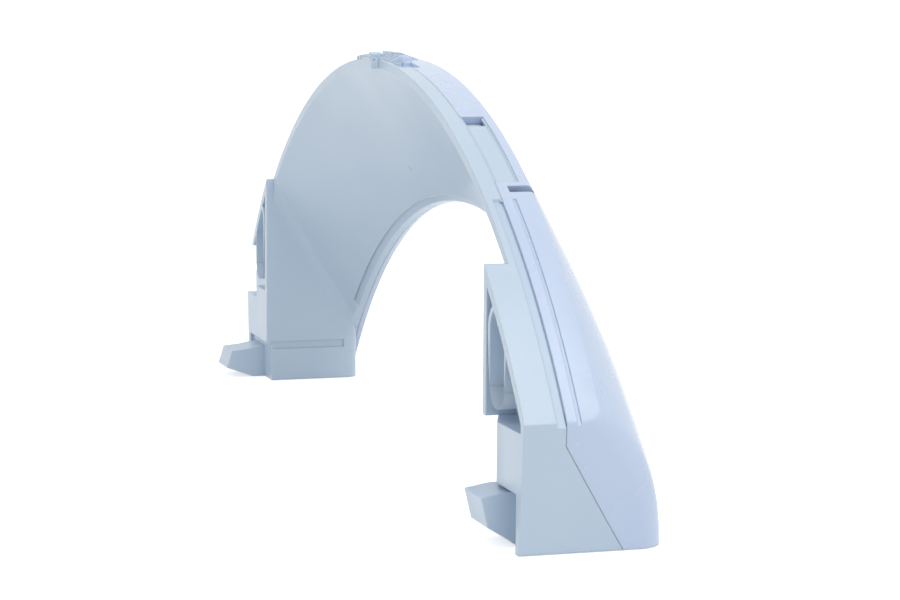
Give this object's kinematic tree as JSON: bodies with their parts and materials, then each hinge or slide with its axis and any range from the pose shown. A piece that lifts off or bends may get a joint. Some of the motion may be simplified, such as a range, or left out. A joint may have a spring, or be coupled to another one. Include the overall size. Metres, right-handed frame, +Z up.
{
  "type": "washing machine door handle",
  "caption": "Crescent pull handle for a round appliance door: a crowned front cover snapped onto a rear body with socketed legs and locating tongues.",
  "frame": {"origin": "middle of the base: on the plane that both legs stand on, halfway along the chord and halfway through the depth", "axes": "+X along the chord from one leg to the other, +Y to the rear (the door side), +Z up through the crown of the arch"},
  "size_m": [0.2792, 0.0414, 0.1028],
  "materials": {
    "cover_plastic": "smooth moulded white plastic with a soft sheen",
    "body_plastic": "smooth moulded white plastic, slightly duller in the recesses"
  },
  "bodies": {
    "root": {"front_cover": "cover_plastic", "rear_body": "body_plastic"}
  },
  "joints": []
}
